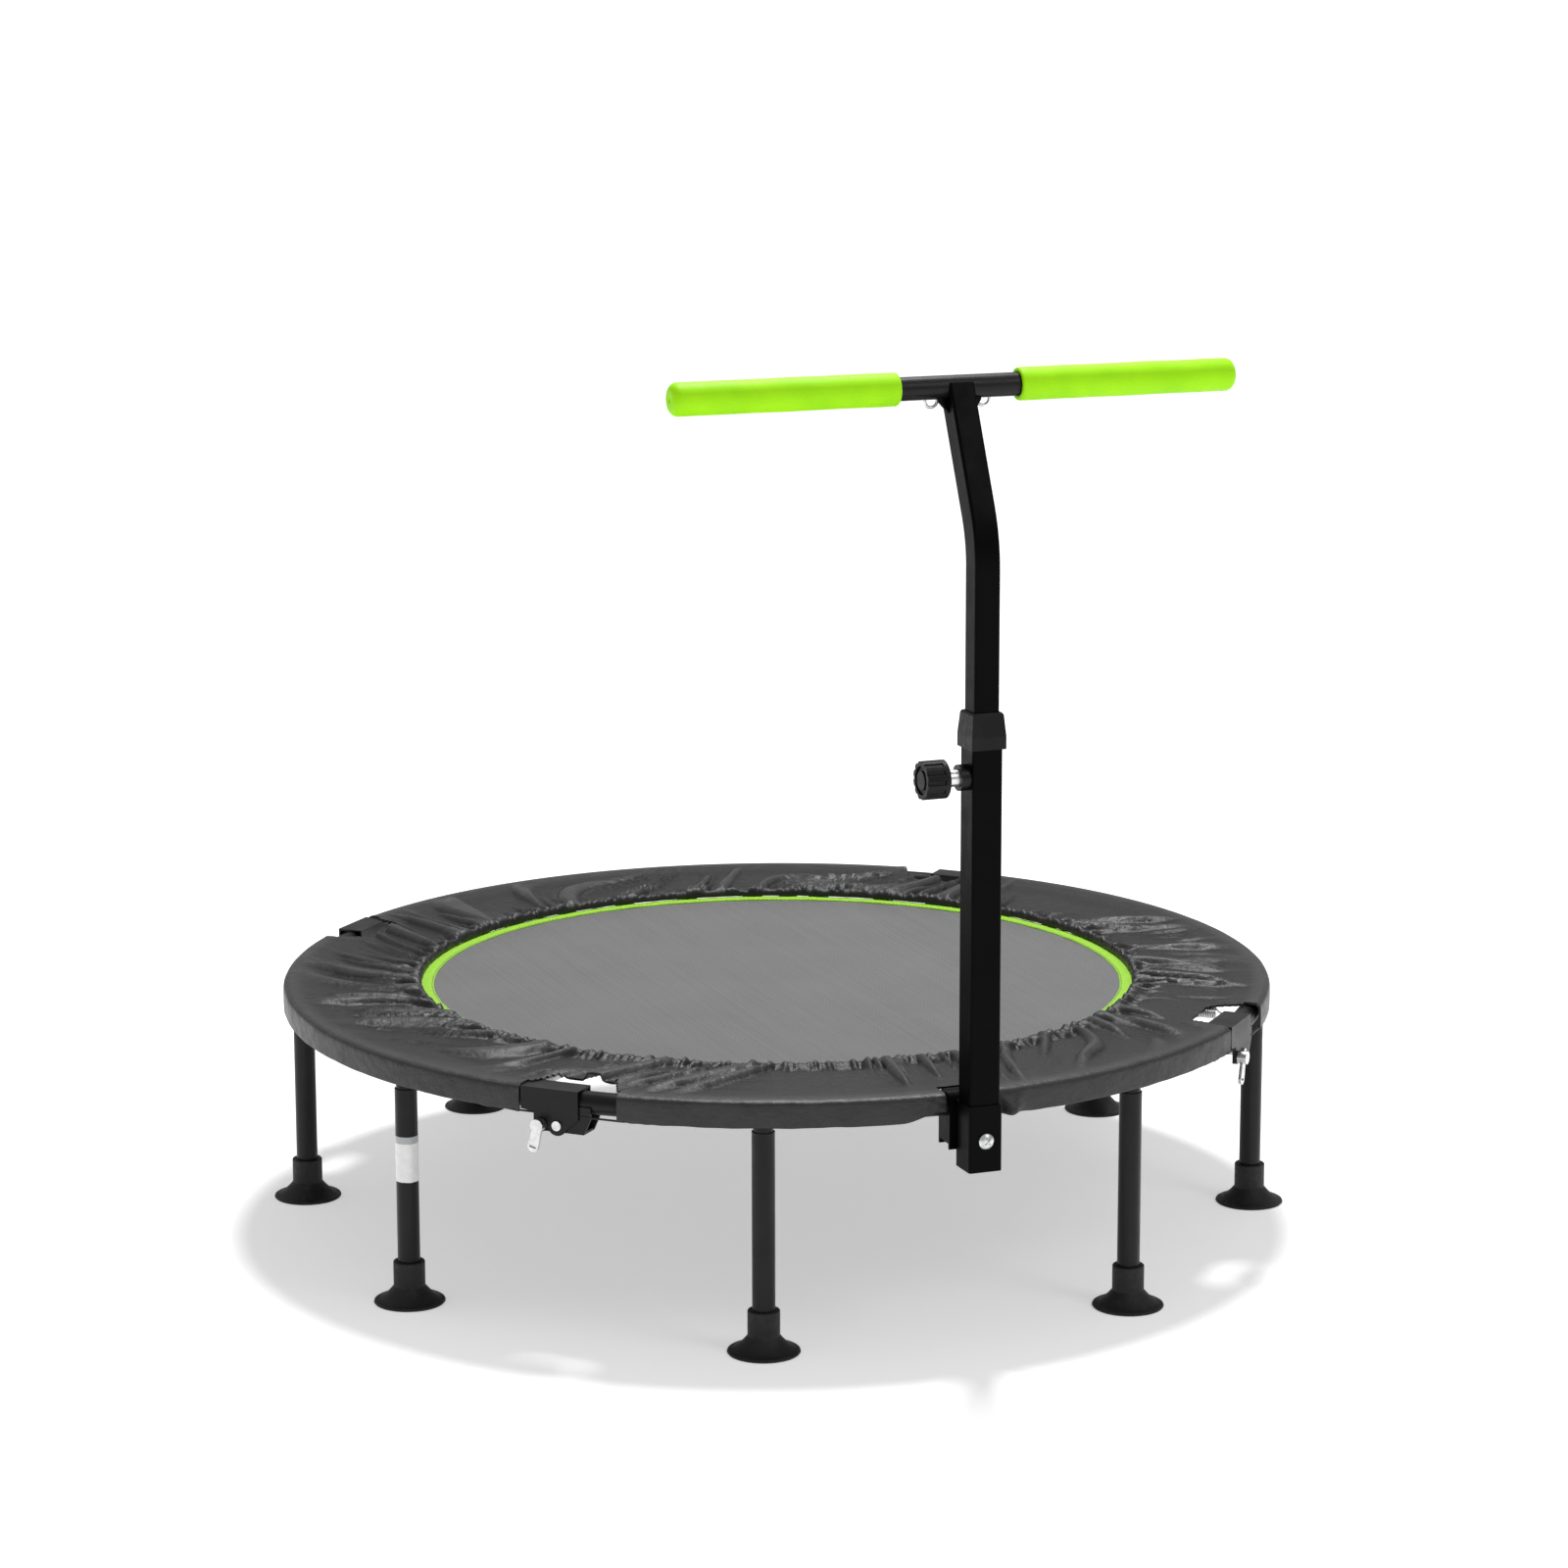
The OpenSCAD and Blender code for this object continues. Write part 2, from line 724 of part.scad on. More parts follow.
// Foam grip: a closed outer end and rounded edges
module grip(side) {
    r = grip_d / 2;
    round = 5;
    color(lime) translate([side * bar_bare / 2, bar_y, bar_z]) rotate([0, side * 90, 0])
        rotate_extrude($fn = 64) difference() {
            union() {
                translate([0, 1]) square([r, grip_len - round - 1]);
                square([r - 1, 2]);
                square([r - round, grip_len]);
                translate([r - round, grip_len - round]) intersection() {
                    circle(r = round, $fn = 48);
                    square(round + 1);
                }
            }
            translate([-1, -1]) square([1 + bar_d / 2 + fit, grip_len - 3]);
        }
}

// Small half loops for exercise bands, welded under the bar on each side
module band_hooks() {
    top = bar_z - bar_d / 2;
    color(zinc) difference() {
        translate([0, bar_y, top - 1]) for (side = [-1, 1]) translate([side * hook_x, 0, 0]) {
            rotate([-90, 0, 0]) rotate_extrude(angle = 180, $fn = 48)
                translate([loop_r, 0]) circle(r = loop_wire_r, $fn = 24);
            for (end = [-1, 1])
                translate([end * loop_r, 0, -0.5]) cylinder(r = loop_wire_r + 0.15, h = 3);
        }
        translate([0, bar_y, bar_z]) rod_x(-60, 60, bar_d / 2);
    }
}

rim_quarter(-135);  // rim_post_quarter
rim_quarter(-45);  // rim_right_quarter
rim_quarter(45);  // rim_rear_quarter
rim_quarter(135);  // rim_left_quarter
color(steel_black) for (a = [-45, 45]) hinge_channel(a);  // hinge_channels_fixed
color(steel_black) for (a = [135, -135]) hinge_channel(a);  // hinge_channels_folding
for (a = [-135, -45]) hinge_tongue(a);  // hinge_tongues_fixed
for (a = [45, 135]) hinge_tongue(a);  // hinge_tongues_folding
color(zinc) for (a = [-45, 45]) hinge_rivet(a);  // hinge_rivets_fixed
color(zinc) for (a = [135, -135]) hinge_rivet(a);  // hinge_rivets_folding
wing_bolt(-135);  // wing_bolt_left
wing_bolt(-45);  // wing_bolt_front
wing_bolt(45);  // wing_bolt_right
wing_bolt(135);  // wing_bolt_rear
for (i = [0:3]) leg_seat(leg_angles[i]);  // leg_seats_fixed
for (i = [4:7]) leg_seat(leg_angles[i]);  // leg_seats_folding
for (i = [0:7]) {
    leg(i);
    foot(i);
}
mat_half(-135);  // mat_fixed
mat_half(45);  // mat_folding
mat_trim_half(-135);  // mat_trim_fixed
mat_trim_half(45);  // mat_trim_folding
mat_rings_half(-135);  // mat_rings_fixed
mat_rings_half(45);  // mat_rings_folding
springs_half(-135);  // springs_fixed
springs_half(45);  // springs_folding
cover_half(-135);  // cover_fixed
cover_half(45);  // cover_folding
post_saddle();
post_sleeve();
lower_post();
post_collar();
knob_boss();
knob_barrel();
base_bolt();
base_nut();
height_knob();
locating_pin();
pin_spring();
sliding_tube();
tube_guide();
crossbar();
grip(-1);  // grip_left
grip(1);  // grip_right
band_hooks();
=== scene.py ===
"""Folding mini trampoline: looks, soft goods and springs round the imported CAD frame. Metres."""

import math

import bpy
import numpy as np
from mathutils import Matrix, Vector, noise


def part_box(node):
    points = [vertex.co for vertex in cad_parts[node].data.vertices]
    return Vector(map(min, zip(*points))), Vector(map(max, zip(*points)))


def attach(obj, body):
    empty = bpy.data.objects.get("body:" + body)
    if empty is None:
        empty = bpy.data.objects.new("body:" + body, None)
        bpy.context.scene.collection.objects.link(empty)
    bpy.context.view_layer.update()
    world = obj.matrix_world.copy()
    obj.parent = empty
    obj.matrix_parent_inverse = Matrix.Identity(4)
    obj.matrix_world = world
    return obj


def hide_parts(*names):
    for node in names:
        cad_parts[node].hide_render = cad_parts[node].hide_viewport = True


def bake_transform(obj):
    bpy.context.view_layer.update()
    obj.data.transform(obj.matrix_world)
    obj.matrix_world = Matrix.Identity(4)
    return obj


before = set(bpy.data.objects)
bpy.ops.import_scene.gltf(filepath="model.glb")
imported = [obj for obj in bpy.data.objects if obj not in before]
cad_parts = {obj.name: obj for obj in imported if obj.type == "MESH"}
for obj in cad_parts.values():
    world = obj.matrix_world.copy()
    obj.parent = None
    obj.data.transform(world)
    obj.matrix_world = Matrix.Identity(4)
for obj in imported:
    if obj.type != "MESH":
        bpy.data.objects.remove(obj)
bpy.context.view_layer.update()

TAU = 2 * math.pi
RING = Vector((0.0, 0.01825, 0.0))  # the ring's centre on the floor
MAT_TOP = 0.239
MAT_R = 0.371
SPRING_Z = 0.238
SPRINGS_PER_HALF = 16
HALVES = {"fixed": math.radians(-135), "folding": math.radians(45)}  # where each half starts
HINGES = [math.radians(a) for a in (-135, -45, 45, 135)]
FOLD_N = Vector((-math.sqrt(0.5), math.sqrt(0.5), 0))  # from the fold line to the folding half
POST_A = math.radians(-90)
VIEW_A = math.radians(-21.0)


# ---------------------------------------------------------------- materials


class Finish:
    """A Principled material and short calls for the nodes that feed it."""

    def __init__(self, name, **sockets):
        self.material = bpy.data.materials.new(name)
        self.material.use_nodes = True
        self.tree = self.material.node_tree
        self.shader = self.tree.nodes["Principled BSDF"]
        for socket, value in sockets.items():
            self.shader.inputs[socket.replace("_", " ")].default_value = value

    def node(self, kind, **values):
        made = self.tree.nodes.new(kind)
        for name, value in values.items():
            setattr(made, name, value)
        return made

    def feed(self, socket, value):
        if isinstance(value, bpy.types.NodeSocket):
            self.tree.links.new(value, socket)
        else:
            socket.default_value = value

    def place(self, uv=False, scale=(1, 1, 1), turn=0.0):
        source = self.node("ShaderNodeTexCoord").outputs["UV" if uv else "Object"]
        mapping = self.node("ShaderNodeMapping")
        mapping.inputs["Scale"].default_value = scale
        mapping.inputs["Rotation"].default_value = (0, 0, turn)
        self.tree.links.new(source, mapping.inputs["Vector"])
        return mapping.outputs["Vector"]

    def noise(self, where, scale, detail=3.0, rough=0.5):
        made = self.node("ShaderNodeTexNoise")
        self.tree.links.new(where, made.inputs["Vector"])
        made.inputs["Scale"].default_value = scale
        made.inputs["Detail"].default_value = detail
        made.inputs["Roughness"].default_value = rough
        return made.outputs["Fac"]

    def maths(self, operation, a, b=0.0):
        made = self.node("ShaderNodeMath", operation=operation)
        self.feed(made.inputs[0], a)
        self.feed(made.inputs[1], b)
        return made.outputs[0]

    def ramp(self, value, *stops):
        made = self.node("ShaderNodeValToRGB")
        self.tree.links.new(value, made.inputs["Fac"])
        bar = made.color_ramp
        while len(bar.elements) < len(stops):
            bar.elements.new(0.5)
        for element, (at, colour) in zip(bar.elements, stops):
            element.position = at
            element.color = (*colour, 1) if hasattr(colour, "__len__") else (colour,) * 3 + (1,)
        return made.outputs["Color"]

    def span(self, value, low, high, out_low, out_high):
        made = self.node("ShaderNodeMapRange")
        self.tree.links.new(value, made.inputs["Value"])
        for socket, number in zip(made.inputs[1:5], (low, high, out_low, out_high)):
            socket.default_value = number
        return made.outputs["Result"]

    def mix(self, amount, a, b):
        made = self.node("ShaderNodeMix", data_type="RGBA")
        self.feed(made.inputs[0], amount)
        self.feed(made.inputs[6], a if isinstance(a, bpy.types.NodeSocket) else (*a, 1))
        self.feed(made.inputs[7], b if isinstance(b, bpy.types.NodeSocket) else (*b, 1))
        return made.outputs[2]

    def split(self, where):
        made = self.node("ShaderNodeSeparateXYZ")
        self.tree.links.new(where, made.inputs[0])
        return made.outputs

    def stripes(self, value, pitch, phase=0.0):
        """A sine along value, one period each pitch, from 0 to 1."""
        turned = self.maths("MULTIPLY", value, TAU / pitch)
        wave = self.maths("SINE", self.maths("ADD", turned, phase))
        return self.span(wave, -1, 1, 0, 1)

    def bump(self, height, strength, distance):
        made = self.node("ShaderNodeBump")
        made.inputs["Strength"].default_value = strength
        made.inputs["Distance"].default_value = distance
        self.tree.links.new(height, made.inputs["Height"])
        old = self.shader.inputs["Normal"]
        if old.links:
            self.tree.links.new(old.links[0].from_socket, made.inputs["Normal"])
        self.tree.links.new(made.outputs["Normal"], old)

    def base(self, value):
        self.tree.links.new(value, self.shader.inputs["Base Color"])

    def rough(self, value):
        self.tree.links.new(value, self.shader.inputs["Roughness"])


def steel_finish(name, dark, light, shine):
    """Satin black powder coat: orange peel, soft variation and a few rubbed flecks."""
    f = Finish(name, Specular_IOR_Level=shine)
    at = f.place()
    cloud = f.noise(at, 14, 4)
    flecks = f.ramp(f.noise(at, 420, 5, 0.7), (0.70, 0.0), (0.76, 1.0))
    tone = f.ramp(cloud, (0.3, (dark,) * 3), (0.7, (light,) * 3))
    f.base(f.mix(f.maths("MULTIPLY", flecks, 0.25), tone, (0.06, 0.06, 0.06)))
    f.rough(f.span(f.noise(at, 45, 5, 0.6), 0.3, 0.7, 0.30, 0.44))
    f.bump(f.noise(at, 520, 2), 0.22, 0.0003)
    return f.material


def zinc_finish():
    f = Finish("zinc_plate", Metallic=1.0)
    at = f.place()
    tone = f.ramp(f.noise(at, 160, 4, 0.6), (0.3, (0.56, 0.57, 0.58)), (0.7, (0.78, 0.78, 0.76)))
    f.base(tone)
    f.rough(f.span(f.noise(at, 420, 3), 0.3, 0.7, 0.22, 0.40))
    f.bump(f.noise(f.place(scale=(1, 1, 6)), 500, 4, 0.7), 0.25, 0.0003)
    return f.material


def plastic_finish():
    """Moulded black nylon with a fine spark-eroded grain."""
    f = Finish("moulded_plastic", Specular_IOR_Level=0.2)
    at = f.place()
    f.base(f.ramp(f.noise(at, 60, 3),
                  (0.3, (0.0035, 0.0035, 0.0038)), (0.7, (0.0070, 0.0070, 0.0073))))
    f.rough(f.span(f.noise(at, 200, 4), 0.3, 0.7, 0.38, 0.52))
    f.bump(f.noise(at, 1500, 3, 0.6), 0.35, 0.0002)
    return f.material


def rubber_finish():
    """Black rubber: matt, with a little dust in the pores."""
    f = Finish("foot_rubber", Specular_IOR_Level=0.35)
    at = f.place()
    dust = f.ramp(f.noise(at, 90, 5, 0.65), (0.52, 0.0), (0.75, 1.0))
    f.base(f.mix(f.maths("MULTIPLY", dust, 0.35), (0.011, 0.011, 0.011), (0.05, 0.048, 0.045)))
    f.rough(f.span(f.noise(at, 300, 4), 0.3, 0.7, 0.50, 0.66))
    f.bump(f.noise(at, 1100, 4, 0.7), 0.35, 0.0003)
    return f.material


def mat_finish():
    """Grey woven polypropylene: flat tapes over and under, with darker lines between the warps."""
    tape_width = 0.0026
    f = Finish("mat_weave", Specular_IOR_Level=0.35)
    at = f.place(uv=True, turn=VIEW_A)
    across, along, _ = f.split(at)
    warp, weft = f.stripes(across, tape_width), f.stripes(along, tape_width)
    over = f.maths("MULTIPLY", f.stripes(across, 2 * tape_width),
                   f.stripes(along, 2 * tape_width, math.pi / 2))
    line = f.span(warp, 0.0, 0.35, 1.0, 0.0)
    shade = f.ramp(f.noise(at, 9, 4), (0.3, (0.134, 0.134, 0.136)), (0.7, (0.156, 0.156, 0.157)))
    tape = f.mix(f.span(f.noise(f.place(uv=True, scale=(400, 3, 1), turn=VIEW_A), 1.0, 2),
                        0.3, 0.7, 0.0, 0.5), shade, (0.20, 0.20, 0.20))
    f.base(f.mix(f.maths("MULTIPLY", line, 0.65), tape, (0.080, 0.080, 0.082)))
    f.rough(f.span(over, 0, 1, 0.42, 0.60))
    height = f.maths("ADD", f.maths("MULTIPLY", warp, 0.6), f.maths("MULTIPLY", weft, 0.4))
    f.bump(f.maths("ADD", height, over), 0.35, 0.0004)
    return f.material


def trim_finish():
    """Lime webbing sewn on the mat's edge, with ribs across it and two rows of stitches."""
    f = Finish("lime_webbing", Sheen_Weight=0.15, Sheen_Roughness=0.4)
    at = f.place(uv=True)
    along, across, _ = f.split(at)
    rib_pitch, row_gap, stitch_pitch = 0.0018, 0.0110, 0.0052
    rib = f.stripes(along, rib_pitch)
    shade = f.ramp(f.noise(at, 160, 4), (0.3, (0.26, 0.56, 0.008)), (0.7, (0.34, 0.70, 0.014)))
    rows = f.maths("GREATER_THAN", f.stripes(f.maths("ADD", across, 0.0010), row_gap), 0.985)
    dash = f.maths("GREATER_THAN", f.stripes(along, stitch_pitch), 0.25)
    thread = f.maths("MULTIPLY", rows, dash)
    f.base(f.mix(thread, f.mix(f.maths("MULTIPLY", rib, 0.25), shade, (0.17, 0.42, 0.004)),
                 (0.03, 0.05, 0.01)))
    f.rough(f.span(rib, 0, 1, 0.58, 0.72))
    f.bump(f.maths("ADD", rib, f.maths("MULTIPLY", thread, 2.0)), 0.4, 0.0004)
    return f.material


def cloth_finish():
    """Black coated polyester: a fine oxford weave under a slightly shiny coating. Painted shade makes
    the folds darker at the bottom, and painted shade makes the skirt outside the ring darker all
    over."""
    thread_pitch = 0.0011
    valley_z, crest_z = 0.2478, 0.2508
    top_fades, top_ends, skirt_full = 0.128, 0.140, 0.150  # metres along the profile
    f = Finish("coated_cloth", Specular_IOR_Level=0.4)
    at = f.place(uv=True)
    across, along, _ = f.split(at)
    weave = f.maths("MULTIPLY", f.stripes(across, thread_pitch), f.stripes(along, thread_pitch))
    shade = f.ramp(f.noise(at, 26, 5, 0.6),
                   (0.3, (0.024, 0.024, 0.025)), (0.7, (0.040, 0.040, 0.041)))
    cloth = f.mix(f.maths("MULTIPLY", weave, 0.35), shade, (0.056, 0.056, 0.057))
    # painted shade by height: the fold valleys and the low inner edge on top are darkened
    depth = f.span(f.split(f.place())[2], valley_z, crest_z, 0.93, 0.0)
    top = f.span(along, top_fades, top_ends, 1.0, 0.0)
    # painted shade on the skirt, which hangs down outside the ring
    skirt = f.span(along, top_ends, skirt_full, 0.0, 0.45)
    f.base(f.mix(f.maths("ADD", f.maths("MULTIPLY", depth, top), skirt),
                 cloth, (0.003, 0.003, 0.003)))
    f.rough(f.span(f.noise(at, 70, 5, 0.6), 0.3, 0.7, 0.36, 0.48))
    f.bump(f.noise(at, 70, 6, 0.62), 0.7, 0.0026)
    f.bump(weave, 0.3, 0.00025)
    return f.material


def foam_finish():
    """Lime foam rubber with a moulded skin and fine pores."""
    f = Finish("lime_foam", Specular_IOR_Level=0.2)
    at = f.place()
    shade = f.ramp(f.noise(at, 30, 4), (0.3, (0.330, 0.800, 0.0010)), (0.7, (0.390, 0.880, 0.0020)))
    pores = f.ramp(f.noise(at, 1400, 3, 0.6), (0.60, 0.0), (0.72, 1.0))
    f.base(f.mix(f.maths("MULTIPLY", pores, 0.45), shade, (0.16, 0.50, 0.002)))
    f.rough(f.span(f.noise(at, 500, 4), 0.3, 0.7, 0.46, 0.62))
    f.bump(f.noise(at, 900, 4, 0.65), 0.35, 0.0004)
    return f.material


def sleeve_finish():
    """Blank white film round one leg, with a grey strip along its top."""
    f = Finish("white_film", Coat_Weight=0.3, Coat_Roughness=0.15)
    strip_starts = 0.0385  # metres above the film's lower edge
    at = f.place(uv=True)
    _, up, _ = f.split(at)
    dirt = f.ramp(f.noise(at, 120, 5, 0.6), (0.3, (0.80, 0.80, 0.79)), (0.7, (0.90, 0.90, 0.90)))
    f.base(f.mix(f.maths("GREATER_THAN", up, strip_starts), dirt, (0.42, 0.43, 0.44)))
    f.rough(f.span(f.noise(at, 300, 3), 0.3, 0.7, 0.30, 0.42))
    f.bump(f.noise(at, 90, 3), 0.2, 0.0004)
    return f.material


FINISH = {
    "frame_black": steel_finish("powder_coat", 0.0032, 0.0065, 0.24),
    # the post's copy of the powder coat is darker and less shiny: painted shade
    "post_black_painted_shade": steel_finish("post_coat_painted_shade", 0.0008, 0.0018, 0.05),
    "zinc": zinc_finish(),
    "black_plastic": plastic_finish(),
    "black_rubber": rubber_finish(),
    "mat_weave": mat_finish(),
    "mat_edge": trim_finish(),
    "cover_cloth": cloth_finish(),
    "grip_foam": foam_finish(),
    "white_film": sleeve_finish(),
}


# ------------------------------------------------------------------- meshes


class Shape:
    """Points, faces and face-corner UVs of one piece while it is being made."""

    def __init__(self):
        self.points, self.faces, self.uvs = [], [], []

    def grid(self, rows, cols, point, uv=None, keep=None, wrap=True, flip=False):
        """Adds a grid of quads. point(i, j) gives a place, and uv(i, j) its coordinates."""
        first = len(self.points)
        self.points += [Vector(point(i, j)) for i in range(rows) for j in range(cols)]
        for i in range(rows - 1):
            for j in range(cols if wrap else cols - 1):
                if keep and not keep(i, j):
                    continue
                ring = [(i, j), (i, j + 1), (i + 1, j + 1), (i + 1, j)]
                if flip:
                    ring.reverse()
                self.faces.append(tuple(first + a * cols + b % cols for a, b in ring))
                self.uvs.append(tuple(uv(a, b) if uv else (0, 0) for a, b in ring))
        return first

    def cap(self, ids, flip=False):
        """Adds one face over a ring of points."""
        ids = list(ids)[::-1] if flip else list(ids)
        self.faces.append(tuple(ids))
        self.uvs.append(tuple((self.points[k].x, self.points[k].y) for k in ids))

    def tube(self, path, radius, sides=8, closed=False):
        """Adds a round wire along path, with a frame that turns as little as it can. Open ends
        get caps."""
        count = len(path)
        if closed:
            steps = [path[(k + 1) % count] - path[k - 1] for k in range(count)]
        else:
            steps = [path[min(k + 1, count - 1)] - path[max(k - 1, 0)] for k in range(count)]
        side = steps[0].orthogonal().normalized()
        frames = []
        for step in steps:
            step = step.normalized()
            side = (side - step * side.dot(step)).normalized()
            frames.append((side, step.cross(side)))
        slip = 0
        if closed:
            end = frames[0][0]
            turn = math.atan2(end.dot(frames[-1][1]), end.dot(frames[-1][0]))
            slip = round(turn / TAU * sides)
        first = len(self.points)
        for centre, (a, b) in zip(path, frames):
            for k in range(sides):
                w = TAU * k / sides
                self.points.append(centre + (a * math.cos(w) + b * math.sin(w)) * radius)
        for i in range(count if closed else count - 1):
            shift = slip if i == count - 1 else 0
            low, high = first + i * sides, first + (i + 1) % count * sides
            for k in range(sides):
                n = (k + 1) % sides
                self.faces.append((low + k, low + n,
                                   high + (n - shift) % sides, high + (k - shift) % sides))
                self.uvs.append(((k, i), (n, i), (n, i + 1), (k, i + 1)))
        if not closed:
            self.cap(range(first, first + sides), flip=True)
            last = first + (count - 1) * sides
            self.cap(range(last, last + sides))

    def thicken(self, depth):
        """Adds a second layer depth(point index) below the first, and walls along its borders."""
        count = len(self.points)
        normals = [Vector() for _ in range(count)]
        for face in self.faces:
            a, b, c, d = (self.points[k] for k in face)
            normal = (c - a).cross(d - b)
            for k in face:
                normals[k] += normal
        self.points += [
            p - (n.normalized() if n.length else n) * depth(k)
            for k, (p, n) in enumerate(zip(list(self.points), normals))
        ]
        edges = {}
        for face, uvs in zip(self.faces, self.uvs):
            for k in range(len(face)):
                n = (k + 1) % len(face)
                edges[face[k], face[n]] = (uvs[k], uvs[n])
        walls = [(e, uv) for e, uv in edges.items() if (e[1], e[0]) not in edges]
        self.faces += [tuple(k + count for k in reversed(face)) for face in self.faces]
        self.uvs += [tuple(reversed(uv)) for uv in self.uvs]
        for (a, b), (ua, ub) in walls:
            self.faces.append((b, a, a + count, b + count))
            self.uvs.append((ub, ua, ua, ub))

    def make(self, name, slot, smooth=45):
        """Makes the object, with edges sharper than smooth degrees kept sharp."""
        mesh = bpy.data.meshes.new(name)
        mesh.from_pydata(self.points, [], self.faces)
        layer = mesh.uv_layers.new(name="UVMap")
        layer.data.foreach_set("uv", [x for face in self.uvs for pair in face for x in pair])
        mesh.materials.append(FINISH[slot])
        obj = bpy.data.objects.new(name, mesh)
        bpy.context.scene.collection.objects.link(obj)
        mesh.validate()
        mesh.shade_smooth()
        mesh.set_sharp_from_angle(angle=math.radians(smooth))
        return obj


def polar(r, a, z):
    """A place by radius and angle round the ring's axis."""
    return Vector((r * math.cos(a), r * math.sin(a), z)) + RING


def waves(a, scale, r, stretch, seed=0.0):
    """Smooth noise round the ring, the same at both ends of a turn, from about -1 to 1."""
    return noise.noise(Vector((math.cos(a) * scale + seed, math.sin(a) * scale, r * stretch)))


def ease(x, low, high):
    """0 below low, 1 above high and a smooth step between."""
    t = min(max((x - low) / (high - low), 0.0), 1.0)
    return t * t * (3 - 2 * t)


def across_fold(obj):
    """Bakes the transform of a piece that crosses the fold line, from one half of the frame to the
    other.
    """
    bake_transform(obj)


# ---------------------------------------------------------------------- mat


def make_mat():
    """The woven mat, with rows close together where it folds."""
    thickness, overhang, pucker = 0.0018, 0.00005, 0.00035
    close_gap, close_half = 0.003, 0.036
    steps = {MAT_R * math.sin(math.radians(a)) for a in range(-90, 91, 3)}
    near = {k * close_gap for k in range(-11, 12)}
    lines = sorted(near | {s for s in steps if abs(s) > close_half})
    along = Vector((math.sqrt(0.5), math.sqrt(0.5), 0))
    cols = 73

    def point(i, j):
        t = lines[i]
        half = math.sqrt(max(MAT_R**2 - t * t, 0)) + overhang
        s = half * math.sin(math.pi * (j / (cols - 1) - 0.5))
        edge = ease(math.hypot(s, t), 0.30, MAT_R)
        pull = pucker * edge * math.cos(2 * SPRINGS_PER_HALF * math.atan2(t, s))
        p = RING + along * s + FOLD_N * t
        return (p.x, p.y, MAT_TOP - 0.0001 + pull * 0.4)

    shape = Shape()
    shape.grid(len(lines), cols, point, lambda i, j: point(i, j)[:2], wrap=False)
    shape.thicken(lambda k: thickness)
    mat = shape.make("mat_woven", "mat_weave")
    across_fold(mat)
    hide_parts("mat_fixed", "mat_folding")
    return mat


def make_trim():
    """The lime band on the mat's edge, slightly puckered by its stitches."""
    thickness, middle_r = 0.0009, 0.3635
    radii = [0.3560, 0.3563, 0.3578, 0.3600, 0.3630, 0.3660, 0.3690, 0.3707, 0.3711]
    lift = [0.0000, 0.0009, 0.0010, 0.0012, 0.0013, 0.0012, 0.0012, 0.0012, -0.0004]
    cols = 960

    def point(i, j):
        a = TAU * j / cols
        pucker = 0.00020 * waves(a, 60, 0, 1) + 0.0003 * waves(a, 14, 0, 1, 3.0)
        rise = lift[i] + (pucker if 0 < i < 8 else 0)
        wander = 0.0005 * waves(a, 20, 0, 1, 8.0) * (i < 3)
        return polar(radii[i] + wander, a, MAT_TOP + 0.0002 + rise)

    shape = Shape()
    shape.grid(len(radii), cols, point,
               lambda i, j: (TAU * j / cols * middle_r, radii[i] - radii[0]), flip=True)
    shape.thicken(lambda k: thickness)
    trim = shape.make("mat_edge_band", "mat_edge")
    across_fold(trim)
    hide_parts("mat_trim_fixed", "mat_trim_folding")


MAT = make_mat()
make_trim()


def make_tabs(half, start):
    """Webbing loops that hold the wire triangles to the mat's edge."""
    shape = Shape()
    loop = [(0.3640, 0.2368), (0.3700, 0.2362), (0.3760, 0.2358), (0.3785, 0.2364),
            (0.3797, 0.2380), (0.3785, 0.2396), (0.3760, 0.2402), (0.3722, 0.2399)]
    thickness, tab_width, rows = 0.0007, 0.0145, 9
    for k in range(SPRINGS_PER_HALF):
        a = start + (k + 0.5) * math.pi / SPRINGS_PER_HALF
        away, side = Vector((math.cos(a), math.sin(a), 0)), Vector((-math.sin(a), math.cos(a), 0))

        def point(i, j):
            r, z = loop[j]
            return RING + away * r + side * tab_width * (i / (rows - 1) - 0.5) + Vector((0, 0, z))

        shape.grid(rows, len(loop), point,
                   lambda i, j: (i * 0.0018, j * 0.004), wrap=False, flip=True)
    shape.thicken(lambda k: thickness)
    tabs = shape.make("mat_tabs_" + half, "cover_cloth")
    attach(tabs, half + "_half")


